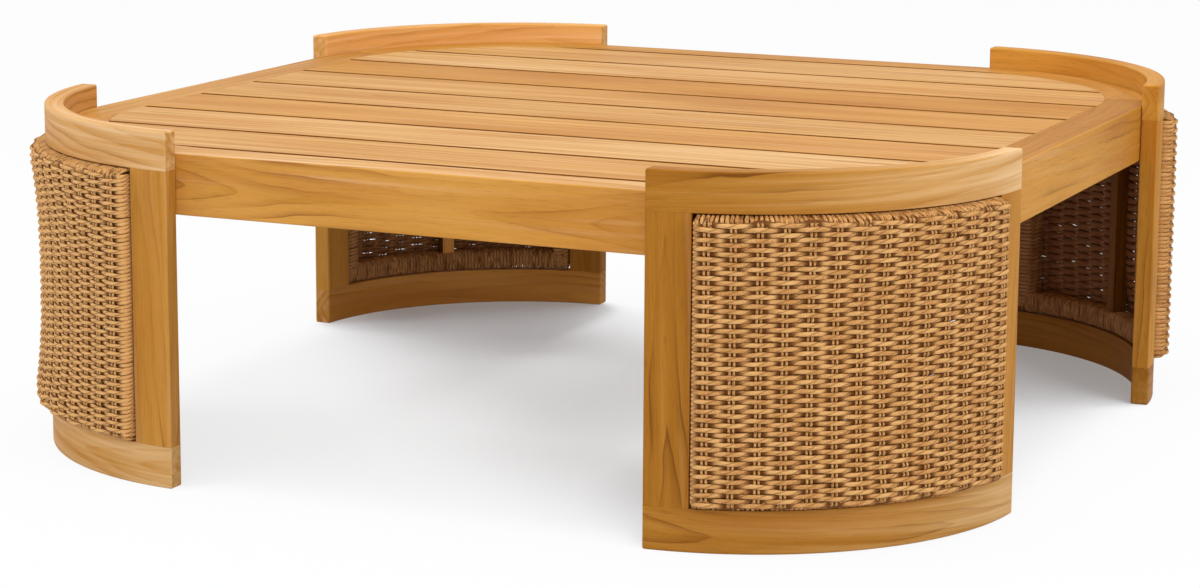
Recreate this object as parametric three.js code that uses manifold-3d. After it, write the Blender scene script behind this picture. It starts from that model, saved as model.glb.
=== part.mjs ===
// Low square coffee table in solid teak.
// Four quarter-round corner legs stand a little above the slatted deck.
// Every leg is a curved timber frame round a bent inner frame that carries a panel of woven rope.
// Millimetres, +Z up, origin on the floor under the middle of the deck.

import * as THREE from 'three';
import { mergeVertices } from 'three/addons/utils/BufferGeometryUtils.js';
import Module from 'manifold-3d';

const wasm = await Module();
wasm.setup();

// Overall sizes
const tableSide = 1180;
const tableHeight = 400;
const legLip = 26.5;

// Leg timber
const legRadius = 325;
const legThickness = 22;
const legTrim = 19;
const topRailHeight = 43.5;
const bottomRailHeight = 47;
const stileWidth = 50;
const legEdge = 3;

// Deck ring: four straight beams and four curved corner rails
const beamHeight = 68;
const beamWidth = 50;
const beamArc = THREE.MathUtils.degToRad(15);
const beamEdge = 2.5;
const legSeatGap = 0.5;
const jointGap = 0.3;

// Deck slats
const slatCount = 8;
const slatThickness = 20;
const slatGroove = 5;
const slatEndGap = 0.6;
const slatEdge = 1.5;

// What carries the slats
const bearerCount = 3;
const bearerBendClear = 5;
const bearerWidth = 70;
const bearerThickness = 30;
const ledgeWidth = 28;
const ledgeThickness = 20;
const ledgeEdge = 1;
const cornerLedgeArc = THREE.MathUtils.degToRad(62);

// Woven rope panel
const panelGap = 2.4;
const weaveThickness = 5;
const wrapThickness = 3.4;
const weaveStandOff = 18;
const weaveSag = 8.5;
const weaveRoll = 8;
const sagPower = 2.5;
const sagSteps = 10;
const sagRows = 6;
const rollShares = [0, 0.3, 1];

// Bent inner frame that the rope is wound on
const frameBar = 18;
const frameFit = 0.7;
const strutWidth = 18;
const strutDepth = 20;
const pegDiameter = 8;
const pegReach = 12;
const pegBite = 10;
const pegHeightShare = 0.22;

// Leg bolts, put in from inside the deck ring
const boltDiameter = 8;
const boltHeadDiameter = 14;
const boltHeadHeight = 6;
const washerDiameter = 22;
const washerThickness = 2;
const boltBite = 14;
const boreGap = 0.3;
const cutOverrun = 5;

// Fineness of curves
const arcStep = THREE.MathUtils.degToRad(6);
const edgeSteps = 2;
const filletSteps = 2;
const roundSides = 10;
const sharpTurn = THREE.MathUtils.degToRad(40);

// Heights and radii that follow from the sizes above
const deckTop = tableHeight - legLip;
const deckUnder = deckTop - slatThickness;
const beamUnder = deckTop - beamHeight;
const arcCentre = tableSide / 2 - legRadius;
const legInner = legRadius - legThickness;
const ringOuter = legInner - legSeatGap;
const ringInner = ringOuter - beamWidth;
const openFrom = Math.asin(legTrim / legRadius) + stileWidth / legRadius;
const openTo = Math.PI / 2 - openFrom;
const openBottom = bottomRailHeight;
const openTop = tableHeight - topRailHeight;
const quarter = Math.PI / 2;

const teak = { color: 0xd0995a, roughness: 0.55, metalness: 0 };
const paleTeak = { color: 0xdcab6e, roughness: 0.55, metalness: 0 };
const innerTimber = { color: 0x9a6a3c, roughness: 0.7, metalness: 0 };
const rope = { color: 0xc29a63, roughness: 0.8, metalness: 0 };
const steel = { color: 0xb4b6b8, roughness: 0.35, metalness: 1 };

const table = new THREE.Group();

// Adds one named piece, with a material of its own, to a group
function addPiece(parent, name, geometry, look) {
  const mesh = new THREE.Mesh(geometry, new THREE.MeshStandardMaterial(look));
  mesh.name = name;
  parent.add(mesh);
  return mesh;
}

// Group turned by quarter turns about the middle of the table
function turned(turns) {
  const group = new THREE.Group();
  group.rotation.z = turns * quarter;
  table.add(group);
  return group;
}

// Points on an arc about a centre, from one angle to another
function arc(radius, from, to, centreX = 0, centreY = 0) {
  const steps = Math.max(1, Math.ceil(Math.abs(to - from) / arcStep));
  const points = [];
  for (let i = 0; i <= steps; i += 1) {
    const angle = from + ((to - from) * i) / steps;
    points.push(new THREE.Vector2(centreX + radius * Math.cos(angle), centreY + radius * Math.sin(angle)));
  }
  return points;
}

// Outline moved inwards by one distance on all sides, corners mitred
function inset(outline, distance) {
  return outline.map((point, i) => {
    const before = outline[(i + outline.length - 1) % outline.length];
    const after = outline[(i + 1) % outline.length];
    const first = point.clone().sub(before).normalize();
    const second = after.clone().sub(point).normalize();
    const firstNormal = new THREE.Vector2(-first.y, first.x);
    const secondNormal = new THREE.Vector2(-second.y, second.x);
    const mitre = firstNormal.clone().add(secondNormal);
    return point.clone().addScaledVector(mitre, distance / (1 + firstNormal.dot(secondNormal)));
  });
}

// Outline whose sharp corners are rounded, if the test lets them
function fillet(outline, radius, wanted = () => true) {
  const rounded = [];
  outline.forEach((point, i) => {
    const before = outline[(i + outline.length - 1) % outline.length];
    const after = outline[(i + 1) % outline.length];
    const back = before.clone().sub(point).normalize();
    const ahead = after.clone().sub(point).normalize();
    const turn = Math.PI - back.angleTo(ahead);
    if (turn < sharpTurn || !wanted(point)) {
      rounded.push(point);
      return;
    }
    const reach = radius * Math.tan(turn / 2);
    const start = point.clone().addScaledVector(back, reach);
    const end = point.clone().addScaledVector(ahead, reach);
    const curve = new THREE.QuadraticBezierCurve(start, point, end);
    rounded.push(...curve.getPoints(filletSteps));
  });
  return rounded;
}

// Closed solid through a row of sections with equal point counts, placed one by one in space
function loft(sections, place) {
  const count = sections[0].length;
  const positions = sections.flatMap((section, i) => section.flatMap((point) => place(point, i).toArray()));
  const indices = [];
  for (let i = 0; i + 1 < sections.length; i += 1) {
    for (let j = 0; j < count; j += 1) {
      const a = i * count + j;
      const b = i * count + ((j + 1) % count);
      indices.push(a, b, a + count, b, b + count, a + count);
    }
  }
  const last = (sections.length - 1) * count;
  for (const [a, b, c] of THREE.ShapeUtils.triangulateShape(sections[0], [])) {
    indices.push(a, c, b);
  }
  for (const [a, b, c] of THREE.ShapeUtils.triangulateShape(sections.at(-1), [])) {
    indices.push(last + a, last + b, last + c);
  }
  const geometry = new THREE.BufferGeometry();
  geometry.setAttribute('position', new THREE.Float32BufferAttribute(positions, 3));
  geometry.setIndex(indices);
  return geometry;
}

// Board cut to an outline, with its lower and upper edges softened
function board(outline, bottom, top, bottomEdge = 0, topEdge = 0) {
  const levels = [];
  for (let i = 0; i <= edgeSteps; i += 1) {
    const angle = (quarter * i) / edgeSteps;
    if (bottomEdge > 0 || i === edgeSteps) {
      levels.push([bottom + bottomEdge * (1 - Math.cos(angle)), bottomEdge * (1 - Math.sin(angle))]);
    }
  }
  for (let i = edgeSteps; i >= 0; i -= 1) {
    const angle = (quarter * i) / edgeSteps;
    if (topEdge > 0 || i === edgeSteps) {
      levels.push([top - topEdge * (1 - Math.cos(angle)), topEdge * (1 - Math.sin(angle))]);
    }
  }
  const sections = levels.map(([, distance]) => inset(outline, distance));
  return loft(sections, (point, i) => new THREE.Vector3(point.x, point.y, levels[i][0]));
}

// Round rod between two points
function rod(start, end, diameter) {
  const along = end.clone().sub(start);
  const geometry = new THREE.CylinderGeometry(diameter / 2, diameter / 2, along.length(), roundSides);
  geometry.applyQuaternion(new THREE.Quaternion().setFromUnitVectors(
    new THREE.Vector3(0, 1, 0),
    along.clone().normalize(),
  ));
  geometry.translate(...start.clone().addScaledVector(along, 1 / 2).toArray());
  return geometry;
}

function toSolid(geometry) {
  const bare = geometry.clone();
  bare.deleteAttribute('normal');
  bare.deleteAttribute('uv');
  const merged = mergeVertices(bare);
  return new wasm.Manifold(new wasm.Mesh({
    numProp: 3,
    vertProperties: merged.attributes.position.array,
    triVerts: new Uint32Array(merged.index.array),
  }));
}

function toGeometry(solid) {
  const mesh = solid.getMesh();
  const geometry = new THREE.BufferGeometry();
  geometry.setAttribute('position', new THREE.Float32BufferAttribute(mesh.vertProperties, mesh.numProp));
  geometry.setIndex([...mesh.triVerts]);
  return geometry;
}

function cut(geometry, tools) {
  const rest = tools.reduce((solid, tool) => solid.subtract(toSolid(tool)), toSolid(geometry));
  return toGeometry(rest);
}

function join(geometries) {
  const whole = geometries.slice(1).reduce((solid, next) => solid.add(toSolid(next)), toSolid(geometries[0]));
  return toGeometry(whole);
}

// Point at a radius, an angle and a height about the corner's arc centre
function polar(radius, angle, z) {
  return new THREE.Vector3(radius * Math.cos(angle), radius * Math.sin(angle), z);
}

// Angle at which the leg's end meets a radius: it is cut square, its trim short of a full quarter
function endAngle(radius) {
  return Math.asin(legTrim / radius);
}

// Leg bolt axis: through the middle of the stile and of the beam
const boltAngle = (endAngle(legRadius) + openFrom) / 2;
const boltHeight = beamUnder + (openTop - beamUnder) / 2;

function boltBore(angle, centreX = 0, centreY = 0) {
  const start = polar(ringInner - cutOverrun, angle, boltHeight);
  const end = polar(legInner + boltBite + boreGap, angle, boltHeight);
  const bore = rod(start, end, boltDiameter + boreGap * 2);
  bore.translate(centreX, centreY, 0);
  return bore;
}

// Bolt with its head and washer in one turned profile, seated on the ring's hollow inner face
function boltGeometry(angle) {
  const seat = Math.sqrt(ringInner ** 2 - (washerDiameter / 2) ** 2) - jointGap;
  const profile = [
    [0, seat - washerThickness - boltHeadHeight],
    [boltHeadDiameter / 2, seat - washerThickness - boltHeadHeight],
    [boltHeadDiameter / 2, seat - washerThickness],
    [washerDiameter / 2, seat - washerThickness],
    [washerDiameter / 2, seat],
    [boltDiameter / 2, seat],
    [boltDiameter / 2, legInner + boltBite],
    [0, legInner + boltBite],
  ];
  const geometry = new THREE.LatheGeometry(profile.map(([x, y]) => new THREE.Vector2(x, y)), roundSides);
  geometry.rotateZ(angle - quarter);
  geometry.translate(0, 0, boltHeight);
  return toGeometry(toSolid(geometry));
}

// Pegs that pin the inner frame into the stiles, two at each end of the panel
const pegRadius = legInner + legThickness / 2;
const pegHeights = [pegHeightShare, 1 - pegHeightShare].map((share) => openBottom + (openTop - openBottom) * share);

function peg(faceAngle, towardsEnd, z, bite, diameter) {
  const seat = polar(pegRadius, faceAngle, z);
  const heading = faceAngle + towardsEnd * quarter;
  const across = new THREE.Vector3(Math.cos(heading), Math.sin(heading), 0);
  const start = seat.clone().addScaledVector(across, bite);
  const end = seat.clone().addScaledVector(across, -pegReach);
  return rod(start, end, diameter);
}

function pegsAt(faceAngle, towardsEnd, bite, diameter) {
  return pegHeights.map((z) => peg(faceAngle, towardsEnd, z, bite, diameter));
}

// Curved rail, square cut at both ends
function railGeometry(bottom, top, bottomEdge, topEdge) {
  const outer = arc(legRadius, endAngle(legRadius), quarter - endAngle(legRadius));
  const inner = arc(legInner, quarter - endAngle(legInner), endAngle(legInner));
  return board(fillet([...outer, ...inner], legEdge), bottom, top, bottomEdge, topEdge);
}

// Stile at the first end of the leg, its free end rounded and its other side against the opening
function stileGeometry() {
  const outer = arc(legRadius, endAngle(legRadius), openFrom);
  const inner = arc(legInner, openFrom, endAngle(legInner));
  const freeEnd = (point) => Math.atan2(point.y, point.x) < (endAngle(legInner) + openFrom) / 2;
  const blank = board(fillet([...outer, ...inner], legEdge, freeEnd), openBottom, openTop);
  const pegBores = pegsAt(openFrom, -1, pegBite + boreGap, pegDiameter + boreGap * 2);
  return cut(blank, [boltBore(boltAngle), ...pegBores]);
}

// The second stile is the first one seen in the leg's diagonal mirror plane
function mirrored(geometry) {
  const flipped = geometry.clone();
  const swapAndMirror = new THREE.Matrix4().set(0, 1, 0, 0, 1, 0, 0, 0, 0, 0, 1, 0, 0, 0, 0, 1);
  flipped.applyMatrix4(swapAndMirror);
  const order = [...flipped.index.array];
  for (let i = 0; i < order.length; i += 3) {
    [order[i + 1], order[i + 2]] = [order[i + 2], order[i + 1]];
  }
  flipped.setIndex(order);
  return flipped;
}

// Panel edges: angles are lengths along the leg's outer face, divided by its radius
const panelFrom = openFrom + panelGap / legRadius;
const panelTo = openTo - panelGap / legRadius;
const panelBottom = openBottom + panelGap;
const panelTop = openTop - panelGap;
const panelSpan = (panelTo - panelFrom) * legRadius;
const panelRise = panelTop - panelBottom;
const panelInner = legInner + wrapThickness / 2;
const cavityInner = panelInner + wrapThickness;
const cavityOuter = legRadius + weaveStandOff - weaveThickness;
const barInset = wrapThickness + frameBar;

// How much the tight weave flattens between the bars, at distances from the panel's first edges
function sag(across, up) {
  const acrossShare = THREE.MathUtils.clamp((across - barInset) / (panelSpan - barInset * 2), 0, 1);
  const upShare = THREE.MathUtils.clamp((up - barInset) / (panelRise - barInset * 2), 0, 1);
  const acrossPart = 1 - Math.abs(2 * acrossShare - 1) ** sagPower;
  const upPart = 1 - Math.abs(2 * upShare - 1) ** sagPower;
  return weaveSag * acrossPart * upPart;
}

// How much the weave falls away where it rolls over the outer bars
function rollDrop(across, up) {
  const fromSide = Math.min(across, panelSpan - across, weaveRoll);
  const fromEnd = Math.min(up, panelRise - up, weaveRoll);
  const left = weaveRoll ** 2 - (weaveRoll - fromSide) ** 2 - (weaveRoll - fromEnd) ** 2;
  return weaveRoll - Math.sqrt(Math.max(0, left));
}

// Distances at which sections are taken: close together over the roll, even between the bars
function stations(span, edge, steps, rolled) {
  const near = rolled ? rollShares.map((share) => share * weaveRoll) : [edge];
  const middle = [];
  for (let i = 0; i <= steps; i += 1) {
    middle.push(barInset + ((span - barInset * 2) * i) / steps);
  }
  const far = near.map((distance) => span - distance).reverse();
  return [...near, ...middle, ...far];
}

// Curved block between an inner radius and a surface given over the panel
function panelBlock(inner, outerAt, acrossStations, upStations) {
  const fromFarEnd = acrossStations.toReversed();
  const sections = fromFarEnd.map((across) => {
    const outer = upStations.map((up) => new THREE.Vector2(outerAt(across, up), panelBottom + up));
    const first = new THREE.Vector2(inner, panelBottom + upStations[0]);
    const last = new THREE.Vector2(inner, panelBottom + upStations.at(-1));
    return [first, ...outer, last];
  });
  const angles = fromFarEnd.map((across) => panelFrom + across / legRadius);
  return loft(sections, (point, i) => polar(point.x, angles[i], point.y));
}

// Woven skin, rolled over the outer bars and turned in behind them; open at the back between the bars
function weaveGeometry() {
  const outerAt = (across, up) => legRadius + weaveStandOff - sag(across, up) - rollDrop(across, up);
  const body = panelBlock(
    panelInner,
    outerAt,
    stations(panelSpan, 0, sagSteps, true),
    stations(panelRise, 0, sagRows, true),
  );
  const cavity = panelBlock(
    cavityInner,
    (across, up) => cavityOuter - sag(across, up),
    stations(panelSpan, wrapThickness, sagSteps, false),
    stations(panelRise, wrapThickness, sagRows, false),
  );
  const back = board(
    [...arc(cavityInner + cutOverrun, panelFrom + barInset / legRadius, panelTo - barInset / legRadius),
      ...arc(panelInner - cutOverrun, panelTo - barInset / legRadius, panelFrom + barInset / legRadius)],
    panelBottom + barInset,
    panelTop - barInset,
  );
  const holes = [
    ...pegsAt(openFrom, -1, 0, pegDiameter + boreGap * 2),
    ...pegsAt(openTo, 1, 0, pegDiameter + boreGap * 2),
  ];
  return cut(body, [cavity, back, ...holes]);
}

// Bent frame: two curved bars, two end bars and a strut up the middle, with the pegs on the end bars
function frameGeometry() {
  const inner = cavityInner + frameFit;
  const outer = cavityOuter - frameFit;
  const from = panelFrom + (wrapThickness + frameFit) / legRadius;
  const to = panelTo - (wrapThickness + frameFit) / legRadius;
  const bottom = panelBottom + wrapThickness + frameFit;
  const top = panelTop - wrapThickness - frameFit;
  const barArc = (frameBar - frameFit) / legRadius;
  const bar = (start, end, low, high, reach) => board(
    [...arc(reach, start, end), ...arc(inner, end, start)],
    low,
    high,
  );
  const strutArc = strutWidth / legRadius;
  const pieces = [
    bar(from, to, bottom, bottom + frameBar - frameFit, outer),
    bar(from, to, top - frameBar + frameFit, top, outer),
    bar(from, from + barArc, bottom, top, outer),
    bar(to - barArc, to, bottom, top, outer),
    bar((quarter - strutArc) / 2, (quarter + strutArc) / 2, bottom, top, inner + strutDepth),
    ...pegsAt(openFrom, -1, pegBite, pegDiameter),
    ...pegsAt(openTo, 1, pegBite, pegDiameter),
  ];
  return join(pieces);
}

// Four straight beams of the deck ring, each run a little way round the corners
const sides = ['right', 'back', 'left', 'front'];
const corners = ['back_right', 'back_left', 'front_left', 'front_right'];

function beamGeometry() {
  const outline = [
    ...arc(ringOuter, -beamArc, 0, arcCentre, -arcCentre),
    ...arc(ringOuter, 0, beamArc, arcCentre, arcCentre),
    ...arc(ringInner, beamArc, 0, arcCentre, arcCentre),
    ...arc(ringInner, 0, -beamArc, arcCentre, -arcCentre),
  ];
  const blank = board(outline, beamUnder, deckTop, beamEdge, beamEdge);
  return cut(blank, [
    boltBore(boltAngle, arcCentre, arcCentre),
    boltBore(-boltAngle, arcCentre, -arcCentre),
  ]);
}

function cornerRailGeometry() {
  const from = beamArc + jointGap / ringInner;
  const outline = [...arc(ringOuter, from, quarter - from), ...arc(ringInner, quarter - from, from)];
  return board(outline, beamUnder, deckTop, beamEdge, beamEdge);
}

// Shelf in a corner of the ring that the ends of the outer slats lie on
function cornerLedgeGeometry() {
  const from = (quarter - cornerLedgeArc) / 2;
  const outline = arc(ringInner - slatEndGap, from, quarter - from);
  return board(outline, deckUnder - ledgeThickness, deckUnder, ledgeEdge, 0);
}

// One leg, built about its own arc centre
function addLeg(turns) {
  const leg = new THREE.Group();
  leg.position.set(arcCentre, arcCentre, 0);
  turned(turns).add(leg);
  const corner = corners[turns];
  const firstSide = sides[turns];
  const secondSide = sides[(turns + 1) % sides.length];
  const stile = stileGeometry();
  addPiece(leg, `${corner}_top_rail`, railGeometry(openTop, tableHeight, 0, legEdge), teak);
  addPiece(leg, `${corner}_bottom_rail`, railGeometry(0, bottomRailHeight, legEdge, 0), teak);
  addPiece(leg, `${corner}_stile_${firstSide}`, stile, teak);
  addPiece(leg, `${corner}_stile_${secondSide}`, mirrored(stile), teak);
  addPiece(leg, `${corner}_panel_frame`, frameGeometry(), innerTimber);
  addPiece(leg, `${corner}_woven_panel`, weaveGeometry(), rope);
  addPiece(leg, `${corner}_corner_rail`, cornerRailGeometry(), paleTeak);
  addPiece(leg, `${corner}_corner_ledge`, cornerLedgeGeometry(), innerTimber);
  addPiece(leg, `${corner}_bolt_${firstSide}`, boltGeometry(boltAngle), steel);
  addPiece(leg, `${corner}_bolt_${secondSide}`, boltGeometry(quarter - boltAngle), steel);
}

// Half the width left for the slats at a distance from the middle line, round corners included
function slatHalfWidth(y) {
  const past = Math.max(0, Math.abs(y) - arcCentre);
  return arcCentre + Math.sqrt((ringInner - slatEndGap) ** 2 - past ** 2);
}

// Slat between two lines, its ends following the inside of the ring
function slatOutline(front, back) {
  const straight = Math.max(Math.abs(front), Math.abs(back)) <= arcCentre;
  const steps = straight ? 1 : Math.ceil((back - front) / (arcStep * ringInner));
  const rows = [];
  for (let i = 0; i <= steps; i += 1) {
    rows.push(front + ((back - front) * i) / steps);
  }
  const right = rows.map((y) => new THREE.Vector2(slatHalfWidth(y), y));
  const left = rows.toReversed().map((y) => new THREE.Vector2(-slatHalfWidth(y), y));
  return [...right, ...left];
}

function addSlats() {
  const inside = arcCentre + ringInner;
  const slatWidth = (inside * 2 - slatGroove * (slatCount + 1)) / slatCount;
  for (let i = 0; i < slatCount; i += 1) {
    const front = -inside + slatGroove + i * (slatWidth + slatGroove);
    const geometry = board(slatOutline(front, front + slatWidth), deckUnder, deckTop, slatEdge, slatEdge);
    addPiece(table, `slat_${i + 1}`, geometry, paleTeak);
  }
}

function rectangle(left, right, front, back) {
  return [[left, front], [right, front], [right, back], [left, back]].map(([x, y]) => new THREE.Vector2(x, y));
}

// Bearers from the front beam to the back beam, and ledges along the side beams
function addBearers() {
  const inside = arcCentre + ringInner - jointGap;
  const reach = arcCentre - bearerBendClear - bearerWidth / 2;
  for (let i = 0; i < bearerCount; i += 1) {
    const middle = THREE.MathUtils.lerp(-reach, reach, i / (bearerCount - 1));
    const outline = rectangle(middle - bearerWidth / 2, middle + bearerWidth / 2, -inside, inside);
    const geometry = board(outline, deckUnder - bearerThickness, deckUnder, ledgeEdge, 0);
    addPiece(table, `bearer_${i + 1}`, geometry, innerTimber);
  }
  for (const [name, direction] of [['left_ledge', -1], ['right_ledge', 1]]) {
    const edges = [direction * inside, direction * (inside - ledgeWidth)].sort((a, b) => a - b);
    const outline = rectangle(edges[0], edges[1], -arcCentre, arcCentre);
    const geometry = board(outline, deckUnder - ledgeThickness, deckUnder, ledgeEdge, 0);
    addPiece(table, name, geometry, innerTimber);
  }
}

sides.forEach((sideName, turns) => {
  addPiece(turned(turns), `${sideName}_beam`, beamGeometry(), paleTeak);
});
corners.forEach((_, turns) => addLeg(turns));
addSlats();
addBearers();

export default table;
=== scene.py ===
# %% [markdown]
# # A low teak table on quarter-round woven legs
# The table is a slatted deck inside a ring of beams. Four legs stand round its corners, each a curved
# frame of four teak pieces, and each frame holds a bowed panel of rope woven on a bent inner frame.
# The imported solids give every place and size. This script dresses them: boards get true rounded edges and
# a grain that follows each board, and the panels get their real strands.

import math
import random

import bmesh
import bpy
from mathutils import Matrix, Vector


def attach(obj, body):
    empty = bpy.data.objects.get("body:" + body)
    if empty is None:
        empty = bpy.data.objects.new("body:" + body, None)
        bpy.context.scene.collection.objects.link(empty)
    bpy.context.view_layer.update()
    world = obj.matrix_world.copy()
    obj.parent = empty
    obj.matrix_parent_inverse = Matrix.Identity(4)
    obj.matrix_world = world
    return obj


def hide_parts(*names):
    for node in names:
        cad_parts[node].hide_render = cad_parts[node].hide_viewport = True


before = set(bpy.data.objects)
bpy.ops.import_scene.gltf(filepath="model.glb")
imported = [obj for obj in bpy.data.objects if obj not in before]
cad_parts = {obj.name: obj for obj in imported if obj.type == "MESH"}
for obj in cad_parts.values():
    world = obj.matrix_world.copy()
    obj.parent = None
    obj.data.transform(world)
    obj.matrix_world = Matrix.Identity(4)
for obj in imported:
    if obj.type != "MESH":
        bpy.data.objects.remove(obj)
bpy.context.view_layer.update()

# %% [markdown]
# ## The table's sizes
# The same few measures as in the solids, in metres. A leg is a quarter of a ring about its own arc centre,
# so most places are a radius, an angle and a height. Working in those terms keeps the boards simple here.

# %% Sizes of timber and panels, in metres
TABLE_HEIGHT = 0.4
DECK_TOP = 0.3735
ARC_CENTRE = 0.265
LEG_OUTER = 0.325
LEG_INNER = 0.303
LEG_TRIM = 0.019
TOP_RAIL = 0.0435
BOTTOM_RAIL = 0.047
STILE = 0.05
RING_OUTER = 0.3025
RING_INNER = 0.2525
BEAM_HEIGHT = 0.068
BEAM_ARC = math.radians(15)
JOINT_GAP = 0.0003
SLAT_COUNT = 8
SLAT_THICKNESS = 0.02
SLAT_GROOVE = 0.0062
SLAT_END_GAP = 0.0002
QUARTER = math.pi / 2
SIDES = ["right", "back", "left", "front"]
CORNERS = ["back_right", "back_left", "front_left", "front_right"]

OPEN_FROM = math.asin(LEG_TRIM / LEG_OUTER) + STILE / LEG_OUTER
PANEL_GAP = 0.0024
PANEL_FROM = OPEN_FROM + PANEL_GAP / LEG_OUTER
PANEL_SPAN = (QUARTER - 2 * PANEL_FROM) * LEG_OUTER
PANEL_BOTTOM = BOTTOM_RAIL + PANEL_GAP
PANEL_RISE = TABLE_HEIGHT - TOP_RAIL - PANEL_GAP - PANEL_BOTTOM
print(f"panel: {PANEL_SPAN * 1000:.1f} mm round the arc, {PANEL_RISE * 1000:.1f} mm high")

# %% [markdown]
# ## Camera
# The photograph is taken a little above the deck, from the front and to the right, with a long lens from
# about four metres. The lens and the place were worked out from where the legs' corners fall in the frame,
# because a wrong distance shows at once in how fast the slats narrow towards the back.

# %% An object in the scene
def in_scene(name, data):
    """New object that holds this data, linked to the scene."""
    made = bpy.data.objects.new(name, data)
    bpy.context.scene.collection.objects.link(made)
    return made


# %% Camera at the photograph's viewpoint
YAW, PITCH, ROLL = (math.radians(angle) for angle in (24.175, 11.152, 0.333))
CAMERA_PLACE = (1.5687, -3.5601, 0.9077)
SENSOR_WIDTH = 36
PHOTO_WIDTH = 1200
LENS_IN_PIXELS = 3227.5

ahead = Vector((-math.sin(YAW) * math.cos(PITCH), math.cos(YAW) * math.cos(PITCH), -math.sin(PITCH)))
level = Vector((math.cos(YAW), math.sin(YAW), 0))
over = level.cross(ahead)
right = math.cos(ROLL) * level + math.sin(ROLL) * over
up = -math.sin(ROLL) * level + math.cos(ROLL) * over

lens = bpy.data.cameras.new("photograph_camera")
lens.sensor_width = SENSOR_WIDTH
lens.lens = LENS_IN_PIXELS * SENSOR_WIDTH / PHOTO_WIDTH
lens.clip_start, lens.clip_end = 0.1, 60
camera = in_scene("photograph_camera", lens)
turned = Matrix((right, up, -ahead)).transposed().to_4x4()
camera.matrix_world = Matrix.Translation(CAMERA_PLACE) @ turned
bpy.context.scene.camera = camera
print(f"camera: {lens.lens:.1f} mm lens, {camera.location.length:.2f} m away")

# %% [markdown]
# ## Node trees written as sums
# A wood or rope finish is mostly arithmetic on a position. Wiring each Math node by hand hides that
# arithmetic, so one small class wraps a socket and gives it Python's operators. Colours and vectors have
# their own nodes, because a Math node would turn a colour grey.


# %% A socket that can be added and multiplied
class Signal:
    """Output of a node, in a shader tree or a Geometry Nodes tree."""

    def __init__(self, net, socket):
        self.net = net
        self.socket = socket

    def __add__(self, other):
        return self.net.maths("ADD", self, other)

    def __radd__(self, other):
        return self.net.maths("ADD", other, self)

    def __sub__(self, other):
        return self.net.maths("SUBTRACT", self, other)

    def __rsub__(self, other):
        return self.net.maths("SUBTRACT", other, self)

    def __mul__(self, other):
        return self.net.maths("MULTIPLY", self, other)

    def __rmul__(self, other):
        return self.net.maths("MULTIPLY", other, self)

    def __truediv__(self, other):
        return self.net.maths("DIVIDE", self, other)

    def __pow__(self, other):
        return self.net.maths("POWER", self, other)

    def __neg__(self):
        return self.net.maths("MULTIPLY", self, -1.0)

    def __abs__(self):
        return self.net.maths("ABSOLUTE", self)


# %% One method for every node
class Net:
    """Node tree whose nodes all come from one method: type, settings, then values or links of its sockets."""

    def __init__(self, tree):
        self.tree = tree

    def add(self, kind, settings=None, values=None, out=0):
        node = self.tree.nodes.new(kind)
        for name, value in (settings or {}).items():
            setattr(node, name, value)
        for name, value in (values or {}).items():
            if isinstance(value, Signal):
                self.tree.links.new(value.socket, node.inputs[name])
            else:
                node.inputs[name].default_value = value
        return Signal(self, node.outputs[out]) if node.outputs else node

    def maths(self, operation, *terms):
        return self.add("ShaderNodeMath", {"operation": operation}, dict(enumerate(terms)))

    def vector(self, x, y, z):
        return self.add("ShaderNodeCombineXYZ", None, {0: x, 1: y, 2: z})

    def split(self, vector):
        return [self.add("ShaderNodeSeparateXYZ", None, {0: vector}, out) for out in range(3)]

    def step(self, value, low, high):
        """0 below low, 1 above high and a smooth rise between them."""
        settings = {"interpolation_type": "SMOOTHSTEP"}
        return self.add("ShaderNodeMapRange", settings, {0: value, 1: low, 2: high, 3: 0.0, 4: 1.0})

    def noise(self, x, y, z, detail=2.0, roughness=0.5):
        """Noise about 0, from -0.5 to 0.5, at a place that is already scaled."""
        values = {0: self.vector(x, y, z), 2: 1.0, 3: detail, 4: roughness}
        return self.add("ShaderNodeTexNoise", None, values) - 0.5

    def blend(self, share, first, second, how="MIX"):
        """Mix of two colours."""
        settings = {"data_type": "RGBA", "blend_type": how}
        return self.add("ShaderNodeMix", settings, {0: share, 6: first, 7: second}, out=2)


def finish_net(name):
    """New material and the net of its emptied node tree."""
    material = bpy.data.materials.new(name)
    material.use_nodes = True
    material.node_tree.nodes.clear()
    return material, Net(material.node_tree)


def surface(net, values):
    """Principled surface wired to the material's output."""
    shader = net.add("ShaderNodeBsdfPrincipled", None, values)
    net.add("ShaderNodeOutputMaterial", None, {0: shader})


# %% [markdown]
# ## Floor, backdrop and light
# The photograph is a studio cut-out: white all round, with a soft grey shadow under the table. A white
# floor would need more light than the table can take, so the floor and the sky show white only to the
# camera and in reflections, while the lamps stay at a plain level. Part of the floor's look is still its
# own lit colour, and that part carries the shadow. Inside the table's outline that part grows with how
# closed in the floor is. Painted shadow makes it larger in the nooks of the legs, in the middle and at the
# back left. Painted light makes it smaller on the side towards the left soft box and at the back between
# the legs.

# %% White surroundings
WHITE = (1.0, 1.0, 1.0, 1.0)
SKY_STRENGTH = 0.5

bpy.context.scene.view_settings.view_transform = "Standard"

world = bpy.data.worlds.new("studio")
bpy.context.scene.world = world
world.use_nodes = True
world.node_tree.nodes.clear()


def seen_by_eye(net):
    """1 for what the camera sees, in mirrors and through glass too, and 0 for light on the object."""
    kinds = ("Is Camera Ray", "Is Glossy Ray", "Is Transmission Ray")
    rays = [net.add("ShaderNodeLightPath", None, None, kind) for kind in kinds]
    return net.maths("MAXIMUM", rays[0], net.maths("MAXIMUM", rays[1], rays[2]))


sky = Net(world.node_tree)
lighting = sky.add("ShaderNodeBackground", None, {0: WHITE, 1: SKY_STRENGTH})
backdrop = sky.add("ShaderNodeBackground", None, {0: WHITE, 1: 1.0})
both = sky.add("ShaderNodeMixShader", None, {0: seen_by_eye(sky), 1: lighting, 2: backdrop})
sky.add("ShaderNodeOutputWorld", None, {0: both})

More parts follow.
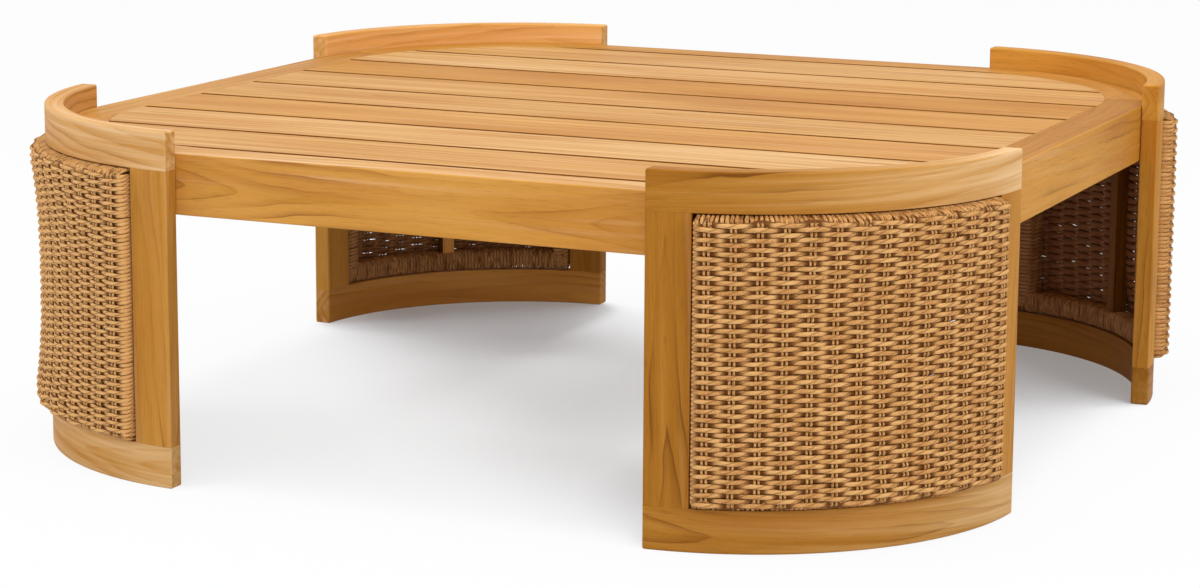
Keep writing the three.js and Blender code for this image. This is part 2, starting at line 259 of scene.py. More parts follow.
# %% Floor that shows white but keeps the shadow
FLOOR_SIZE = 40.0
FLOOR_GLOW = 0.96
FLOOR_REACH = 0.45

floor_finish, net = finish_net("studio_floor")
lit = net.add("ShaderNodeBsdfDiffuse", None, {0: (0.76, 0.79, 0.86, 1.0), 1: 0.0})
glow = net.add("ShaderNodeEmission", None, {0: WHITE, 1: 1.0})
openness = net.add("ShaderNodeAmbientOcclusion", {"samples": 12}, {1: FLOOR_REACH}, 1)
sides = net.split(net.add("ShaderNodeTexCoord", None, None, "Object"))[:2]
beyond = [abs(side) - ARC_CENTRE for side in sides]
past = [net.maths("MAXIMUM", side, 0.0) for side in beyond]
reach = net.maths("SQRT", past[0] * past[0] + past[1] * past[1])
nook = net.step(net.maths("MINIMUM", beyond[0], beyond[1]), -0.03, 0.02)
under = 1 - net.step(reach, 0.24 + nook * 0.06, 0.34 - nook * 0.01)


def floor_spot(x, y, near, far):
    """1 nearer than one distance to a place on the floor, 0 farther than another."""
    aside, away = sides[0] - x, sides[1] - y
    return 1 - net.step(net.maths("SQRT", aside * aside + away * away), near, far)


# Painted shadow in the middle under the table and at the back left.
painted_middle_shadow = floor_spot(-0.08, 0.12, 0.05, 0.4)
back_left = floor_spot(-0.31, 0.36, 0.02, 0.17)
# Painted light at the back between the legs, and on the side towards the left soft box.
between_legs = 1 - net.step(abs(sides[0]), 0.22, 0.26)
behind = net.step(sides[1], 0.25, 0.5) * between_legs * 0.45
facing = net.step(-(sides[0] + sides[1]), 0.1, 0.5) * 0.85
shaded = 0.24 + 0.58 * net.step(openness, 0.38, 0.66) + 0.18 * net.step(openness, 0.65, 1.0)
# Painted shadow in the nooks of the legs.
shaded = shaded * (1 - nook * net.step(reach, 0.1, 0.3) * (0.22 - sides[0] * 0.4)) * (1 - painted_middle_shadow * 0.17)
shaded = shaded * (1 - back_left * 0.24)
shaded = shaded + (1 - shaded) * behind
shaded = shaded + (0.92 - shaded) * facing
outside = 0.94 + openness * 0.06
share = (shaded * under + outside * (1 - under)) * FLOOR_GLOW * seen_by_eye(net)
both = net.add("ShaderNodeMixShader", None, {0: share, 1: lit, 2: glow})
net.add("ShaderNodeOutputMaterial", None, {0: both})

floor_mesh = bpy.data.meshes.new("floor")
half = FLOOR_SIZE / 2
floor_corners = [(-half, -half, 0), (half, -half, 0), (half, half, 0), (-half, half, 0)]
floor_mesh.from_pydata(floor_corners, [], [(0, 1, 2, 3)])
floor_mesh.materials.append(floor_finish)
floor = in_scene("floor", floor_mesh)


# %% Soft boxes: a large one overhead, and one on the left, the right and in front
def soft_box(name, place, aim_height, side, power):
    """Square lamp of a side in metres and a power in watts, turned to a height over the floor's middle."""
    lamp = bpy.data.lights.new(name, "AREA")
    lamp.shape = "SQUARE"
    lamp.size = side
    lamp.energy = power
    box = in_scene(name, lamp)
    box.location = place
    aim = Vector((0, 0, aim_height)) - Vector(place)
    box.rotation_euler = aim.to_track_quat("-Z", "Y").to_euler()
    print(f"{name}: {power:.0f} W at {place}")


soft_box("overhead_box", (0.2, -0.3, 3.2), 0.3, 2.6, 56)
soft_box("left_box", (-3.2, -1.8, 1.5), 0.2, 1.6, 34)
soft_box("right_box", (3.4, -1.4, 1.6), 0.2, 1.6, 38)
soft_box("front_box", (0.8, -4.2, 1.9), 0.2, 1.8, 34)

# %% [markdown]
# ## Teak
# Teak is honey coloured, with growth rings that show as fine lines on a quarter-sawn face and as long
# pointed arches on a flat-sawn one. Painting lines along a board misses those arches. Here each board is
# cut, in thought, from a round log: every point carries its place in that log, the rings are the distance
# from the log's heart, and the rings come nearer to the face at one place, which makes the arches. Fibres
# and pores are noise stretched along the board. Each board carries its place in the log as the attribute
# "grain", the place and height of its arches as "arch", and its brightness, its paleness and the strength
# of its ring lines as "tone". A number that multiplies a place says how finely a noise varies along it:
# 380 across the board and 9 along it draw fibres that are some forty times as long as they are wide.

# %% Colours and ring sizes of teak
PALE_TEAK = (0.700, 0.335, 0.060, 1.0)
DEEP_TEAK = (0.560, 0.220, 0.024, 1.0)
TEAK_LINE = (0.270, 0.084, 0.009, 1.0)
TEAK_PORE = (0.160, 0.060, 0.012, 1.0)
SAPWOOD = (0.780, 0.490, 0.240, 1.0)
RING_PITCH = 0.0105
ARCH_LENGTH = 0.2
ARCH_POINT = 1.4


# %% Teak finish
def own_vector(net, name):
    """Three parts of a vector that the points carry."""
    return net.split(net.add("ShaderNodeAttribute", {"attribute_name": name}, None, "Vector"))


def teak_finish(name, pale, deep, line):
    """Oiled teak. Rings, fibres and pores follow the attribute 'grain': along, across and through a log."""
    material, net = finish_net(name)
    along, across, through = own_vector(net, "grain")
    tone, sap, mark = own_vector(net, "tone")
    beside, lift, twin = own_vector(net, "arch")
    sideways = across + net.noise(along * 3.1, 2.0, 5.0, 1.0) * 0.03
    deeper = through + net.noise(along * 2.3, 8.0, 1.0, 1.0) * 0.03
    beside = abs(abs(beside) - twin)
    deeper = deeper - net.maths("EXPONENT", -(beside / ARCH_LENGTH)) * lift
    ripple = net.noise(along * 8, across * 26, through * 26, 2.0) * 0.009
    ripple = ripple + net.noise(along * 30, across * 90, through * 90, 1.0) * 0.0022
    pointed = abs(sideways) ** ARCH_POINT + abs(deeper) ** ARCH_POINT
    radius = pointed ** (1 / ARCH_POINT) + ripple
    uneven = radius + net.noise(radius * 42, 3.0, 5.0, 1.0) * 0.014
    turn = net.maths("FRACT", uneven / RING_PITCH)
    ring_end = 1 - net.step(turn, 0.94, 1.0)
    band = net.step(turn, 0.3, 0.92) * ring_end
    edge = net.step(turn, 0.8, 0.93) * ring_end
    marked = net.step(net.noise(uneven * 50, along * 4.5, 9.0, 1.0), -0.05, 0.18)
    patch = net.step(net.noise(along * 2.6, across * 17, through * 17 + 7, 1.0), -0.18, 0.2)
    fibre = net.noise(along * 9, across * 380, through * 380, 3.0, 0.6)
    streak = net.noise(along * 2.4, across * 100, through * 100 + 3, 2.0)
    pore = net.step(net.noise(along * 45, across * 1100, through * 1100, 1.0), 0.12, 0.22)
    colour = net.blend(net.step(patch * 0.8 + streak * 2.0, 0.0, 1.0), pale, deep)
    colour = net.blend(net.step(streak, 0.04, 0.24) * 0.3, colour, SAPWOOD)
    colour = net.blend(band * mark * (0.1 + marked * 0.42), colour, line)
    colour = net.blend(edge * mark * marked * 0.85, colour, line)
    colour = net.blend(net.step(fibre, 0.0, 0.3) * 0.3, colour, line)
    colour = net.blend(pore * 0.25, colour, TEAK_PORE)
    colour = net.blend(sap * (0.95 + streak * 2.2 - patch * 0.25 - band * 0.3), colour, SAPWOOD)
    shade = tone + fibre * 0.3 + streak * 0.36
    # A lower tone darkens and saturates the colour. In the grooves, on the leg ends and on the back right leg
    # that tone is painted shade.
    dull, bright = net.maths("MINIMUM", shade, 1.0), net.maths("MAXIMUM", shade, 1.0)
    tone_tint = net.vector(shade, dull**1.33 * bright, dull**2.4 * bright)
    colour = net.blend(1.0, colour, tone_tint, "MULTIPLY")
    relief = fibre * 0.5 - pore * 0.8 - edge * 0.3
    bump = net.add("ShaderNodeBump", None, {0: 0.35, 1: 0.0004, 3: relief})
    roughness = 0.5 + fibre * 0.18 + pore * 0.1
    surface(net, {"Base Color": colour, "Roughness": roughness, "Specular IOR Level": 0.07, "Normal": bump})
    return material


teak = teak_finish("oiled_teak", PALE_TEAK, DEEP_TEAK, TEAK_LINE)

# %% [markdown]
# ## Boards
# Every board, straight or curved, is a strip between lines of points: two arcs for a rail, two edges for a
# beam, several rows for a slat with round ends. One helper builds the strip in quads, so that grain and
# shading stay even round a curve, and a Bevel modifier with a weight for each edge rounds it. Edges where
# two boards meet get a far smaller weight, which leaves the fine dark line of a tight joint.

# %% Edge rounding
LEG_ROUND = 0.0024
JOINT_ROUND = 0.0003
BEAM_ROUND = 0.0018
SLAT_ROUND = 0.002
SHARP = math.radians(35)


def strip_mesh(lines, low, high):
    """Closed mesh between several lines of (x, y) points with equal counts, from a low to a high z."""
    mesh = bmesh.new()
    levels = [[[mesh.verts.new((x, y, z)) for x, y in line] for line in lines] for z in (low, high)]
    rows, count = len(lines), len(lines[0])
    for i in range(rows - 1):
        for j in range(count - 1):
            for level, turned in zip(levels, (False, True)):
                quad = [level[i][j], level[i][j + 1], level[i + 1][j + 1], level[i + 1][j]]
                mesh.faces.new(quad[::-1] if turned else quad)
    rim = [(0, j) for j in range(count)] + [(i, count - 1) for i in range(1, rows)]
    rim += [(rows - 1, j) for j in range(count - 2, -1, -1)] + [(i, 0) for i in range(rows - 2, 0, -1)]
    for (i, j), (k, m) in zip(rim, rim[1:] + rim[:1]):
        mesh.faces.new([levels[0][k][m], levels[0][i][j], levels[1][i][j], levels[1][k][m]])
    bmesh.ops.recalc_face_normals(mesh, faces=mesh.faces)
    return mesh


# %% Plain mesh of an object with modifiers, and vectors that its points carry
def made_plain(rough):
    """Mesh of an object with its modifiers applied. The object itself is removed."""
    state = bpy.context.evaluated_depsgraph_get()
    done = rough.evaluated_get(state)
    mesh = bpy.data.meshes.new_from_object(done, preserve_all_data_layers=True, depsgraph=state)
    bpy.data.objects.remove(rough)
    return mesh


def carry(mesh, name, vector_at):
    """Stores a vector on each point of a mesh, worked out from the point's place."""
    column = mesh.attributes.new(name, "FLOAT_VECTOR", "POINT")
    column.data.foreach_set("vector", [x for v in mesh.vertices for x in vector_at(v.co)])


# %% From strip to finished board
LOG_STOCK = 40
boards = random.Random(11)


def rounded(node, strip, rounding, is_joint):
    """Mesh of a strip with its edges rounded, those at a joint far less."""
    weight = strip.edges.layers.float.new("bevel_weight_edge")
    for edge in strip.edges:
        if edge.calc_face_angle(0.0) > SHARP:
            middle = (edge.verts[0].co + edge.verts[1].co) / 2
            edge[weight] = JOINT_ROUND / rounding if is_joint(middle) else 1.0
    mesh = bpy.data.meshes.new(node + "_board")
    strip.to_mesh(mesh)
    strip.free()
    mesh.shade_smooth()
    rough = in_scene(node + "_rough", mesh)
    bevel = rough.modifiers.new("rounding", "BEVEL")
    bevel.limit_method = "WEIGHT"
    bevel.width = rounding
    bevel.segments = 3
    bevel.harden_normals = True
    return made_plain(rough)


def add_board(node, lines, low, high, rounding, grain, is_joint, place, tone, arch):
    """Board in a solid's place. grain gives a point's place in the log, is_joint the edges at a joint."""
    made = rounded(node, strip_mesh(lines, low, high), rounding, is_joint)
    shift = Vector((boards.uniform(0, LOG_STOCK), 0, 0))
    carry(made, "grain", lambda point: Vector(grain(point)) + shift)
    carry(made, "tone", tone)
    carry(made, "arch", lambda point: (grain(point)[0] - arch[0], arch[1], arch[2]))
    made.transform(place)
    made.materials.clear()
    made.materials.append(teak)
    board = in_scene(node + "_board", made)
    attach(board, "root")
    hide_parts(node)


def arc_line(radius, start, end, step=math.radians(1.0)):
    """Points on an arc about the leg's centre."""
    count = max(2, round(abs(end - start) / step) + 1)
    angles = [start + (end - start) * i / (count - 1) for i in range(count)]
    return [(radius * math.cos(angle), radius * math.sin(angle)) for angle in angles]


def at_corner(turns):
    """From the first corner's arc centre to another corner of the table."""
    return Matrix.Rotation(turns * QUARTER, 4, "Z") @ Matrix.Translation((ARC_CENTRE, ARC_CENTRE, 0))


# %% [markdown]
# ## Legs
# A leg is a top rail and a bottom rail, both sawn to a quarter circle, with a stile under each end of the
# top rail. The grain runs round the rails and up the stiles. The stile's edge at the opening is sharp, its
# free edges are worn soft, and the joints to the rails are tight lines.


# %% Grain that runs round the leg, or up it
def round_grain(heart, tilt):
    """Log place of a rail: along its arc, with the heart at a height and a depth from the rail."""
    def place(point):
        radius = math.hypot(point.x, point.y)
        length = math.atan2(point.y, point.x) * LEG_OUTER
        return length, point.z - heart[0] + tilt * length, radius - LEG_OUTER - heart[1]
    return place


def upright_grain(heart, tilt, middle):
    """Log place of a stile: along its height, with the heart beside and behind it."""
    def place(point):
        radius = math.hypot(point.x, point.y)
        aside = (math.atan2(point.y, point.x) - middle) * LEG_OUTER
        return point.z, aside - heart[0] + tilt * point.z, radius - LEG_OUTER - heart[1]
    return place


# %% Tones and figure of the leg boards
# Brightness and paleness where the board begins on the leg's arc, then where it ends.
LEG_TONES = {
    "front_left_top_rail": ((0.94, 0.35), (0.93, 1.1)),
    "front_left_bottom_rail": ((0.88, 0.7), (0.84, 1.25)),
    "front_left_stile_front": ((0.79, 0.15), (0.79, 0.15)),
    "front_right_top_rail": ((0.6, 0.0), (1.0, 1.35)),
    "front_right_bottom_rail": ((0.63, 0.05), (0.82, 1.35)),
    "front_right_stile_front": ((0.6, 0.0), (0.6, 0.0)),
    "front_right_stile_right": ((0.78, 0.1), (0.78, 0.1)),
    "back_right_top_rail": ((0.94, 0.0), (0.9, 0.0)),
    # The back right bottom rail is darker with painted shade.
    "back_right_bottom_rail": ((0.58, 0.2), (0.58, 0.2)),
    "back_left_top_rail": ((1.12, 0.5), (1.16, 0.5)),
    "back_left_bottom_rail": ((1.2, 0.2), (1.2, 0.2)),
    "back_left_stile_left": ((1.16, 0.0), (1.16, 0.0)),
    "back_left_stile_back": ((0.68, 0.0), (0.68, 0.0)),
}
PLAIN_TONE = ((0.9, 0.0), (0.9, 0.0))

# Strength of the ring lines.
LEG_MARK = {"front_right_top_rail": 0.85, "front_right_bottom_rail": 0.85, "front_right_stile_front": 0.95}
PLAIN_MARK = 0.6

# Ends are darker by a share, which is painted shade, and one has a brightness of its own.
END_SHADE = 0.84
LEG_ENDS = {"back_right_bottom_rail": 0.62}

# Heart beside and behind the board's middle, then place along the board and height of its arch.
LEG_FIGURE = {
    "front_right_top_rail": ((0.02, -0.05), (-0.05, 0.03, 0)),
    "front_right_bottom_rail": ((0.004, -0.04), (0.0, 0.034, 0)),
    "front_right_stile_front": ((0.004, -0.042), (0.0, 0.022, 0)),
    "front_left_stile_front": ((-0.006, -0.042), (0.04, 0.022, 0)),
    "front_left_top_rail": ((0.03, -0.05), (0.5, 0.03, 0)),
    "front_left_bottom_rail": ((0.01, -0.045), (0.5, 0.03, 0)),
}


def leg_tone(node):
    """Brightness, paleness and ring lines of a leg's board at a point. The first two drift along it, and the
    ends carry painted shade.
    """
    first, last = LEG_TONES.get(node, PLAIN_TONE)
    mark = LEG_MARK.get(node, PLAIN_MARK)

    def tone(point):
        share = min(1.0, max(0.0, math.atan2(point.y, point.x) / QUARTER)) ** 1.5
        at_end = min(abs(point.x - LEG_TRIM), abs(point.y - LEG_TRIM)) < 1e-4
        bright, pale = ((1 - share) * a + share * b for a, b in zip(first, last))
        # Painted shade on the board's ends.
        return LEG_ENDS.get(node, bright * END_SHADE) if at_end else bright, pale, mark
    return tone


def leg_figure(node, arch_places):
    """Heart and arch of a leg's board: its own where it has one, or else drawn."""
    drawn = ((boards.uniform(-0.02, 0.02), -0.045), (boards.choice(arch_places), 0.03, 0))
    return LEG_FIGURE.get(node, drawn)


# %% Rails and stiles of the four legs
SPLIT_LOW = BOTTOM_RAIL
SPLIT_HIGH = TABLE_HEIGHT - TOP_RAIL


def end_angle(radius):
    """Angle at which a leg's board is sawn off."""
    return math.asin(LEG_TRIM / radius)


def meets_at(heights, angle=None):
    """Tells whether an edge's middle is at one of the heights, or at the angle, where two boards meet."""
    def is_joint(middle):
        at_height = any(abs(middle.z - height) < 1e-6 for height in heights)
        return at_height or (angle is not None and abs(math.atan2(middle.y, middle.x) - angle) < 0.002)
    return is_joint


def add_rail(turns, corner, kind, low, high, joint_height):
    """Curved rail, sawn to a quarter circle."""
    node = f"{corner}_{kind}"
    lines = []
    for radius in (LEG_OUTER, LEG_INNER):
        lines.append(arc_line(radius, end_angle(radius), QUARTER - end_angle(radius)))
    heart, arch = leg_figure(node, (-0.03, 0.5))
    grain = round_grain(((low + high) / 2 + heart[0], heart[1]), boards.uniform(-0.05, 0.05))
    add_board(node, lines, low, high, LEG_ROUND, grain, meets_at([joint_height]), at_corner(turns),
              leg_tone(node), arch)


def add_stile(turns, corner, side, at_start):
    """Stile under the start or the end of the top rail's arc."""
    node = f"{corner}_stile_{side}"
    lines = [arc_line(radius, end_angle(radius), OPEN_FROM) for radius in (LEG_OUTER, LEG_INNER)]
    middle = (end_angle(LEG_OUTER) + OPEN_FROM) / 2
    edge = OPEN_FROM
    if not at_start:
        lines = [[(y, x) for x, y in line] for line in lines]
        middle, edge = QUARTER - middle, QUARTER - edge
    heart, arch = leg_figure(node, (0.0, 0.4))
    grain = upright_grain(heart, boards.uniform(-0.05, 0.05), middle)
    add_board(node, lines, SPLIT_LOW, SPLIT_HIGH, LEG_ROUND, grain, meets_at([SPLIT_LOW, SPLIT_HIGH], edge),
              at_corner(turns), leg_tone(node), arch)


for turns, corner in enumerate(CORNERS):
    add_rail(turns, corner, "top_rail", SPLIT_HIGH, TABLE_HEIGHT, SPLIT_HIGH)
    add_rail(turns, corner, "bottom_rail", 0.0, SPLIT_LOW, SPLIT_LOW)
    add_stile(turns, corner, SIDES[turns], True)
    add_stile(turns, corner, SIDES[(turns + 1) % 4], False)
print("leg boards:", len(CORNERS) * 4)

# %% [markdown]
# ## Deck
# The ring round the deck is four straight beams, each running a little way round its corners, and four
# corner rails. Inside it lie eight slats with grooves of about 6 mm between them. The sides of the grooves
# carry painted shade, which makes them much darker than the tops. The ends of the outer slats follow the
# round of the ring, and they meet it in a tight joint.


# %% Beams and corner rails of the ring
def straight_grain(heart, tilt):
    """Log place of a straight board that runs from front to back, before it is turned."""
    return lambda point: (point.y, point.z - heart[1] + tilt * point.y, point.x - heart[0])


def beam_line(radius):
    """Line along a beam of the right side, with the arcs at both ends."""
    arc = arc_line(radius, 0, BEAM_ARC)
    ends = [(ARC_CENTRE + x, ARC_CENTRE + y) for x, y in arc]
    return [(x, -y) for x, y in reversed(ends)] + ends


BEAM_LOW = DECK_TOP - BEAM_HEIGHT
BEAM_HEARTS = {"right": (0.518, 0.36), "back": (0.51, 0.33), "left": (0.515, 0.32), "front": (0.5245, 0.336)}

# Brightness and paleness of a beam's sides, the same of its top, then the strength of its ring lines and how
# much that changes from the beam's middle to one end.
BEAM_TONES = {
    "right": ((0.91, 0.0), (0.64, 0.0), (0.45, 0.0)),
    "back": ((0.92, 0.2), (0.82, 0.2), (0.5, 0.0)),
    "left": ((0.92, 0.2), (0.79, 0.35), (0.5, 0.0)),
    "front": ((0.96, 0.12), (0.93, 0.8), (0.72, -0.5)),
}

# Place along the beam and height of its arch. A third number parts it into two arches, that far to each
# side of the place.
BEAM_ARCHES = {
    "right": (0, 0, 0),
    "back": (0.2, 0.02, 0),
    "left": (-0.15, 0.02, 0),
    "front": (0, 0.043, 0.33),
}
CORNER_RAIL_TONE = (0.85, 0.1, 0.5)
# Brightness and paleness of a groove's sides, which is painted shade.
GROOVE_SHADE_TONE = (0.27, 0.0)
INSIDE = ARC_CENTRE + RING_INNER


def beam_tone(side, grooved):
    """Tone of a beam, on its sides and on top. Where its inner side lines a groove, it carries painted shade.
    """
    of_sides, of_top, (mark, drift) = BEAM_TONES[side]

    def tone(point):
        below = point.z < DECK_TOP - 1e-4
        in_groove = grooved and below and point.x < INSIDE + BEAM_ROUND
        own = GROOVE_SHADE_TONE if in_groove else of_sides if below else of_top
        return *own, mark + drift * point.y / (ARC_CENTRE + RING_OUTER)
    return tone


def beam_joint(grooved):
    """Tells whether a beam's edge meets a corner rail, or the ends of the slats."""
    def is_joint(middle):
        x, y = middle.x - ARC_CENTRE, abs(middle.y) - ARC_CENTRE
        at_corner_rail = abs(y - math.hypot(x, y) * math.sin(BEAM_ARC)) < 1e-4
        return at_corner_rail or (not grooved and middle.x < INSIDE + 1e-4)
    return is_joint


for turns, side in enumerate(SIDES):
    grooved = side in ("front", "back")
    grain = straight_grain(BEAM_HEARTS[side], boards.uniform(-0.03, 0.03))
    add_board(f"{side}_beam", [beam_line(RING_OUTER), beam_line(RING_INNER)], BEAM_LOW, DECK_TOP, BEAM_ROUND,
              grain, beam_joint(grooved), Matrix.Rotation(turns * QUARTER, 4, "Z"),
              beam_tone(side, grooved), BEAM_ARCHES[side])

CORNER_FROM = BEAM_ARC + JOINT_GAP / RING_INNER


def corner_joint(middle):
    """Tells whether a corner rail's edge meets a beam, or the ends of the slats."""
    angles = (math.atan2(middle.y, middle.x), math.atan2(middle.x, middle.y))
    at_beam = min(abs(angle - CORNER_FROM) for angle in angles) < 0.003
    return at_beam or math.hypot(middle.x, middle.y) < RING_INNER + 1e-4


for turns, corner in enumerate(CORNERS):
    lines = [arc_line(radius, CORNER_FROM, QUARTER - CORNER_FROM) for radius in (RING_OUTER, RING_INNER)]
    heart = (boards.uniform(0.31, 0.34), boards.uniform(-0.1, -0.07))
    grain = round_grain(heart, boards.uniform(-0.05, 0.05))
    arch = (boards.uniform(0, 0.4), 0.02, 0)
    add_board(f"{corner}_corner_rail", lines, BEAM_LOW, DECK_TOP, BEAM_ROUND, grain, corner_joint,
              at_corner(turns), lambda point: CORNER_RAIL_TONE, arch)
print("ring boards:", len(SIDES) + len(CORNERS))


# %% Slats
def half_width(y):
    """Half the room for the slats at a distance from the table's middle line."""
    past = max(0.0, abs(y) - ARC_CENTRE)
    return ARC_CENTRE + math.sqrt((RING_INNER - SLAT_END_GAP) ** 2 - past**2)


# Brightness of each slat from the front, and its paleness at its left and right ends.
SLAT_TONES = [
    (0.83, 0.62, 0.5), (0.855, 0.7, 1.1), (0.85, 0.32, 0.34), (0.825, 0.6, 0.6),
    (0.83, 0.55, 0.2), (0.815, 0.1, 0.05), (0.885, 0.9, 0.35), (0.865, 0.65, 0.6),
]
SLAT_MARK = 0.4
SLAT_ROWS = 12
SLAT_COLUMNS = (-1, -0.5, 0, 0.5, 1)
SLAT_WIDTH = (2 * INSIDE - SLAT_GROOVE * (SLAT_COUNT + 1)) / SLAT_COUNT


def slat_tone(base, front, back):
    """Tone of a slat. Its paleness drifts from left to right, and its sides carry painted shade."""
    bright, pale_left, pale_right = base

    def tone(point):
        at_side = min(abs(point.y - front), abs(point.y - back)) < SLAT_ROUND
        share = min(1.0, max(0.0, 0.5 + point.x / (2 * ARC_CENTRE)))
        own = (bright, pale_left + (pale_right - pale_left) * share)
        return *(GROOVE_SHADE_TONE if at_side and point.z < DECK_TOP - 1e-4 else own), SLAT_MARK
    return tone


def slat_grain(heart, tilt):
    """Log place of a slat, which runs from left to right."""
    return lambda point: (point.x, point.y - heart[0] + tilt * point.x, point.z - heart[1])


def slat_joint(middle):
    """Tells whether a slat's edge is at one of its ends, which meet the ring."""
    return half_width(middle.y) - abs(middle.x) < 1e-3


for i in range(SLAT_COUNT):
    front = -INSIDE + SLAT_GROOVE + i * (SLAT_WIDTH + SLAT_GROOVE)
    rows = [front + SLAT_WIDTH * k / SLAT_ROWS for k in range(SLAT_ROWS + 1)]
    lines = [[(half_width(y) * share, y) for share in SLAT_COLUMNS] for y in rows]
    heart = (front + boards.uniform(-0.02, 0.15), DECK_TOP - boards.uniform(0.04, 0.07))
    grain = slat_grain(heart, boards.uniform(-0.02, 0.02))
    arch = (boards.uniform(-0.4, 0.4), boards.uniform(0.0, 0.03), 0)
    add_board(f"slat_{i + 1}", lines, DECK_TOP - SLAT_THICKNESS, DECK_TOP, SLAT_ROUND, grain, slat_joint,
              Matrix(), slat_tone(SLAT_TONES[i], rows[0], rows[-1]), arch)
print(f"slats: {SLAT_COUNT}, each {SLAT_WIDTH * 1000:.1f} mm wide")

# %% [markdown]
# ## Inner frames
# The rope is wound on a bent frame of plain timber: a curved bar below and above, a bar at each end and a
# strut up the middle. Only the strut and the bars' inner edges show between the strands, so the frame is
# five strips in one mesh. Its bars are 7 mm shallower than the solid's, which leaves room for the strands
# that wrap them. The timber between the strands is dark with painted shade, which also keeps it from
# shining through the weave. The faces towards the inside of the table are brighter, apart from those of the
# back right leg, which carry the same painted shade.

# %% Timber finish of the inner frames
INNER_PALE = (0.700, 0.360, 0.100, 1.0)
INNER_DEEP = (0.580, 0.260, 0.050, 1.0)
INNER_LINE = (0.260, 0.090, 0.015, 1.0)
inner_timber = teak_finish("inner_timber", INNER_PALE, INNER_DEEP, INNER_LINE)

# %% Frame strips
WRAP = 0.0034
FRAME_FIT = 0.0007
BAR = 0.0173
FRAME_INNER = LEG_INNER + WRAP * 1.5 + FRAME_FIT
FRAME_OUTER = 0.3305
STRUT = 0.018
STRUT_DEPTH = 0.02
FRAME_ROUND = 0.0012
# Tone of the frames' painted shade, then of their brighter inner faces.
SHADED_TIMBER = 0.3
BRIGHT_TIMBER = 1.6


def joined_strips(strips):
    """One mesh from several strips, each given as outer radius, first and last angle, low and high z."""
    whole = bmesh.new()
    for outer, start, end, low, high in strips:
        part = strip_mesh([arc_line(outer, start, end), arc_line(FRAME_INNER, start, end)], low, high)
        sharp = [edge for edge in part.edges if edge.calc_face_angle(0.0) > SHARP]
        bmesh.ops.bevel(part, geom=sharp, offset=FRAME_ROUND, segments=2, profile=0.5, affect="EDGES",
                        clamp_overlap=True)
        strip = bpy.data.meshes.new("strip")
        part.to_mesh(strip)
        part.free()
        whole.from_mesh(strip)
        bpy.data.meshes.remove(strip)
    return whole


frame_from = PANEL_FROM + (WRAP + FRAME_FIT) / LEG_OUTER
frame_low = PANEL_BOTTOM + WRAP + FRAME_FIT
frame_high = PANEL_BOTTOM + PANEL_RISE - WRAP - FRAME_FIT
frame_to = QUARTER - frame_from
bar_arc = BAR / LEG_OUTER
strut_arc = STRUT / LEG_OUTER
between = (frame_low + BAR, frame_high - BAR)
frame_strips = [
    (FRAME_OUTER, frame_from, frame_to, frame_low, between[0]),
    (FRAME_OUTER, frame_from, frame_to, between[1], frame_high),
    (FRAME_OUTER, frame_from, frame_from + bar_arc, *between),
    (FRAME_OUTER, frame_to - bar_arc, frame_to, *between),
    (FRAME_INNER + STRUT_DEPTH, (QUARTER - strut_arc) / 2, (QUARTER + strut_arc) / 2, *between),
]


def frame_tone(corner):
    """Tone of an inner frame: painted shade, apart from its inner faces, which on the back right leg carry it
    too.
    """
    bare = SHADED_TIMBER if corner == "back_right" else BRIGHT_TIMBER

    def tone(point):
        inner_face = math.hypot(point.x, point.y) < FRAME_INNER + FRAME_ROUND / 2
        return bare if inner_face else SHADED_TIMBER, 0, 0.5
    return tone


for turns, corner in enumerate(CORNERS):
    strips = joined_strips(frame_strips)
    mesh = bpy.data.meshes.new(f"{corner}_bent_frame")
    strips.to_mesh(mesh)
    strips.free()
    mesh.set_sharp_from_angle(angle=math.radians(30))
    grain = upright_grain((0.02, -0.05), 0.02, QUARTER / 2)
    shift = Vector((turns * 3, 0, 0))
    carry(mesh, "grain", lambda point: Vector(grain(point)) + shift)
    carry(mesh, "arch", lambda point: (0, 0, 0))
    carry(mesh, "tone", frame_tone(corner))
    mesh.transform(at_corner(turns))
    mesh.materials.append(inner_timber)
    piece = in_scene(f"{corner}_bent_frame", mesh)
    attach(piece, "root")
    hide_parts(f"{corner}_panel_frame")

# %% [markdown]
# ## Rope
# The rope is a thin two-ply cord in a natural straw colour. Its lay shows as slanting grooves, so the
# finish needs to know where it is along the strand and round it. Each strand carries that in the attribute
# "lay": the length along it, and the cosine and sine of the angle round it, which join up without a seam.
# The lay's grooves, the crevices between cords, the pockets where they dive, the panel's inner side and the
# back of each cord are darker with painted shade. Each panel is lighter or darker by its own amount, which
# is painted light on the back left panel and painted shade on the back right one.


# %% Colours and lay of the rope
DEEP_STRAW = (0.500, 0.220, 0.055, 1.0)
PALE_STRAW = (0.700, 0.375, 0.125, 1.0)
FIBRE_STRAW = (0.920, 0.610, 0.310, 1.0)
GROOVE_SHADE_STRAW = (0.240, 0.090, 0.015, 1.0)
BACK_SHADE_STRAW = (0.350, 0.140, 0.068, 1.0)
CREVICE_SHADE_STRAW = (0.120, 0.033, 0.002, 1.0)
LAY_PITCH = 0.018


# %% Rope finish
def own_number(net, name):
    """Number that the points carry."""
    return net.add("ShaderNodeAttribute", {"attribute_name": name}, None, "Fac")


